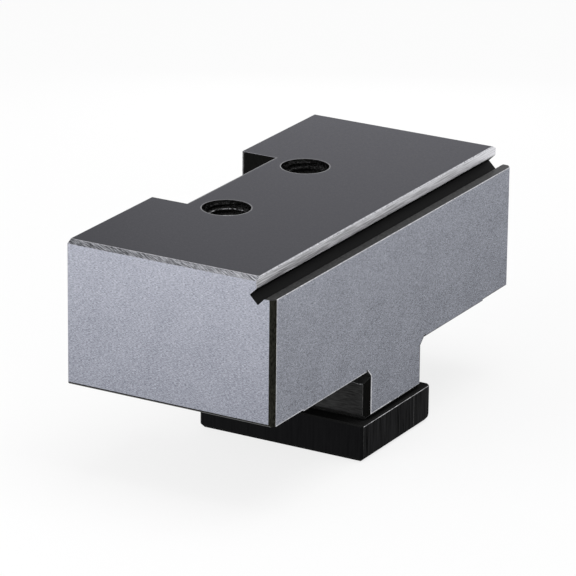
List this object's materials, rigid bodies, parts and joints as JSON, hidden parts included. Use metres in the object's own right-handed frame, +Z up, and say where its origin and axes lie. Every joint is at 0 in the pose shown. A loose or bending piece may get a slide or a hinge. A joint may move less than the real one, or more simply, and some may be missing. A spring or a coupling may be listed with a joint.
{
  "type": "stepped vise jaw",
  "caption": "Ground steel vise jaw with a stepped clamping edge, a notch in the rear, tapped holes in the top and a T-shaped guide below.",
  "frame": {"origin": "middle of the footprint, on the underside of the guide plate", "axes": "+X along the jaw, +Y from the clamping face to the rear, +Z up to the top face"},
  "size_m": [0.125, 0.0596, 0.0618],
  "materials": {
    "ground_steel": "surface ground, with a blackened top",
    "blackened_steel": "milled and blackened"
  },
  "bodies": {
    "root": {"jaw_body": "ground_steel", "foot_plate": "blackened_steel", "foot_screw_a": "blackened_steel", "foot_screw_b": "blackened_steel"}
  },
  "joints": []
}
